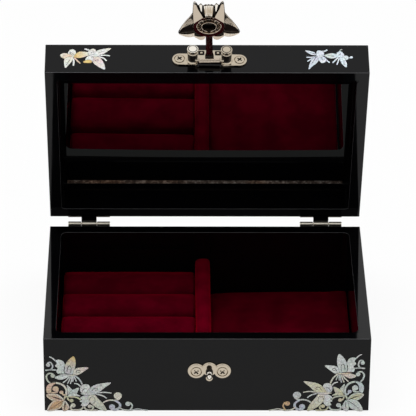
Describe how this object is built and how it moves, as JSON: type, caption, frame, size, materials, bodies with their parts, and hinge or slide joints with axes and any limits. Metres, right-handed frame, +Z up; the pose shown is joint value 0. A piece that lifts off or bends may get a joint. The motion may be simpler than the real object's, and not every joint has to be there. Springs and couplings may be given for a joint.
{
  "type": "lidded jewelry box with ring rolls",
  "caption": "Lacquer box with a hinged mirrored lid, a drop-over metal hasp, mother of pearl sprays, padded ring rolls on the left and an open padded tray on the right.",
  "frame": {"origin": "centre of the felt underside, on the table", "axes": "+X to the right of the box, +Y to its hinged back, +Z up; the lid is drawn open at the pictured angle"},
  "size_m": [0.2, 0.1701, 0.241],
  "materials": {
    "lacquer": "black lacquer, polished to a mirror gloss over wood board",
    "velvet": "wine red velvet, short pile",
    "felt": "black felt",
    "board": "bare grey board",
    "mirror": "clear silvered glass",
    "nickel": "bright warm nickel plate",
    "pearl": "thin iridescent shell under clear lacquer"
  },
  "bodies": {
    "case": {"base_felt": "felt", "base_board": "lacquer", "front_wall": "lacquer", "right_wall": "lacquer", "back_wall": "lacquer", "left_wall": "lacquer", "divider": "velvet", "ring_tray_board": "velvet", "ring_roll_1": "velvet", "ring_roll_2": "velvet", "ring_roll_3": "velvet", "ring_roll_4": "velvet", "floor_pad": "velvet", "catch_plate": "nickel", "catch_hook": "nickel", "catch_screw_1": "nickel", "catch_screw_2": "nickel", "body_hinge_leaf_left": "nickel", "body_hinge_leaf_right": "nickel", "hinge_pin_left": "nickel", "hinge_pin_right": "nickel", "body_hinge_screw_1": "nickel", "body_hinge_screw_2": "nickel", "body_hinge_screw_3": "nickel", "body_hinge_screw_4": "nickel", "pearl_spray_left": "pearl", "pearl_spray_right": "pearl"},
    "lid": {"lid_front_wall": "lacquer", "lid_right_wall": "lacquer", "lid_back_wall": "lacquer", "lid_left_wall": "lacquer", "lid_top_panel": "lacquer", "mirror_backing": "board", "mirror": "mirror", "lid_hinge_leaf_left": "nickel", "lid_hinge_leaf_right": "nickel", "lid_hinge_screw_1": "nickel", "lid_hinge_screw_2": "nickel", "lid_hinge_screw_3": "nickel", "lid_hinge_screw_4": "nickel", "clasp_plate": "nickel", "clasp_post_left": "nickel", "clasp_post_right": "nickel", "clasp_pin": "nickel", "clasp_screw_left": "nickel", "clasp_screw_right": "nickel", "pearl_butterflies_left": "pearl", "pearl_butterflies_right": "pearl"},
    "hasp": {"hasp_arm": "nickel", "hasp_ornament": "nickel"}
  },
  "joints": [
    {"name": "lid_hinge", "type": "hinge", "parent": "case", "child": "lid", "pos_m": [0, 0.0725, 0.052], "axis": [-1, 0, 0], "range_deg": [-72.3, 22.7]},
    {"name": "hasp_hinge", "type": "hinge", "parent": "lid", "child": "hasp", "pos_m": [0.0014, 0.0385, 0.1901], "axis": [-1, 0, 0], "range_deg": [-90, 75]}
  ]
}
